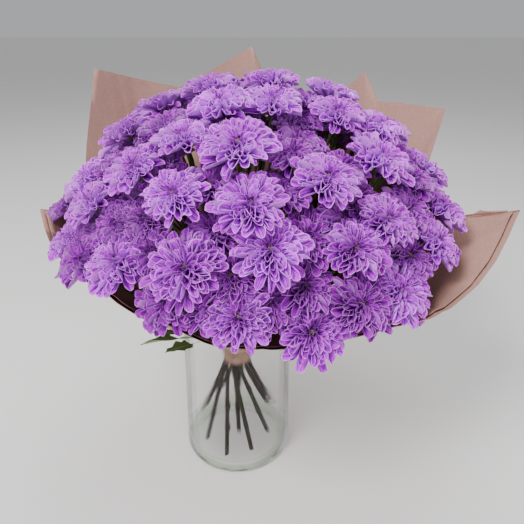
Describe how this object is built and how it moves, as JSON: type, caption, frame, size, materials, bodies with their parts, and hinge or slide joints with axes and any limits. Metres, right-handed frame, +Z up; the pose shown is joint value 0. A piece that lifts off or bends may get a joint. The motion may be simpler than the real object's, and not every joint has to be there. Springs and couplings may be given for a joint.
{
  "type": "chrysanthemum bouquet in a jar",
  "caption": "Hand-tied bouquet of purple spray chrysanthemums wrapped in brown kraft paper, standing in a clear glass cylinder jar with its cut stems fanned out below the neck.",
  "frame": {"origin": "centre of the jar's flat underside, on the surface that it stands on", "axes": "+Z up along the jar's axis; -Y is the front, where the paper is lowest and the flowers face out; +X is the side of the paper's large front corner"},
  "size_m": [0.4963, 0.437, 0.4873],
  "materials": {
    "clear_glass": "clear, smooth, greenish where it is thick at the base",
    "kraft_paper": "matt brown kraft with a fine fibre grain and soft creases",
    "tie_tape": "matt florist's tape",
    "green_stem": "matt olive green to red-brown, pale at the cut",
    "purple_petals": "soft satin petals, violet with pale lilac edges and backs"
  },
  "bodies": {
    "root": {"glass_jar": "clear_glass", "kraft_sheet_back_left": "kraft_paper", "kraft_sheet_back_right": "kraft_paper", "kraft_sheet_front": "kraft_paper", "neck_tie": "tie_tape", "stem_01": "green_stem", "stem_02": "green_stem", "stem_03": "green_stem", "stem_04": "green_stem", "stem_05": "green_stem", "stem_06": "green_stem", "stem_07": "green_stem", "stem_08": "green_stem", "stem_09": "green_stem", "stem_10": "green_stem", "stem_11": "green_stem", "stem_12": "green_stem", "stem_13": "green_stem", "flower_head_01": "purple_petals", "flower_head_02": "purple_petals", "flower_head_03": "purple_petals", "flower_head_04": "purple_petals", "flower_head_05": "purple_petals", "flower_head_06": "purple_petals", "flower_head_07": "purple_petals", "flower_head_08": "purple_petals", "flower_head_09": "purple_petals", "flower_head_10": "purple_petals", "flower_head_11": "purple_petals", "flower_head_12": "purple_petals", "flower_head_13": "purple_petals", "flower_head_14": "purple_petals", "flower_head_15": "purple_petals", "flower_head_16": "purple_petals", "flower_head_17": "purple_petals", "flower_head_18": "purple_petals", "flower_head_19": "purple_petals", "flower_head_20": "purple_petals", "flower_head_21": "purple_petals", "flower_head_22": "purple_petals", "flower_head_23": "purple_petals", "flower_head_24": "purple_petals", "flower_head_25": "purple_petals", "flower_head_26": "purple_petals", "flower_head_27": "purple_petals", "flower_head_28": "purple_petals", "flower_head_29": "purple_petals", "flower_head_30": "purple_petals", "flower_head_31": "purple_petals", "flower_head_32": "purple_petals", "flower_head_33": "purple_petals", "flower_head_34": "purple_petals", "flower_head_35": "purple_petals", "flower_head_36": "purple_petals", "flower_head_37": "purple_petals", "flower_head_38": "purple_petals", "flower_head_39": "purple_petals", "flower_head_40": "purple_petals", "flower_head_41": "purple_petals", "flower_head_42": "purple_petals"}
  },
  "joints": []
}
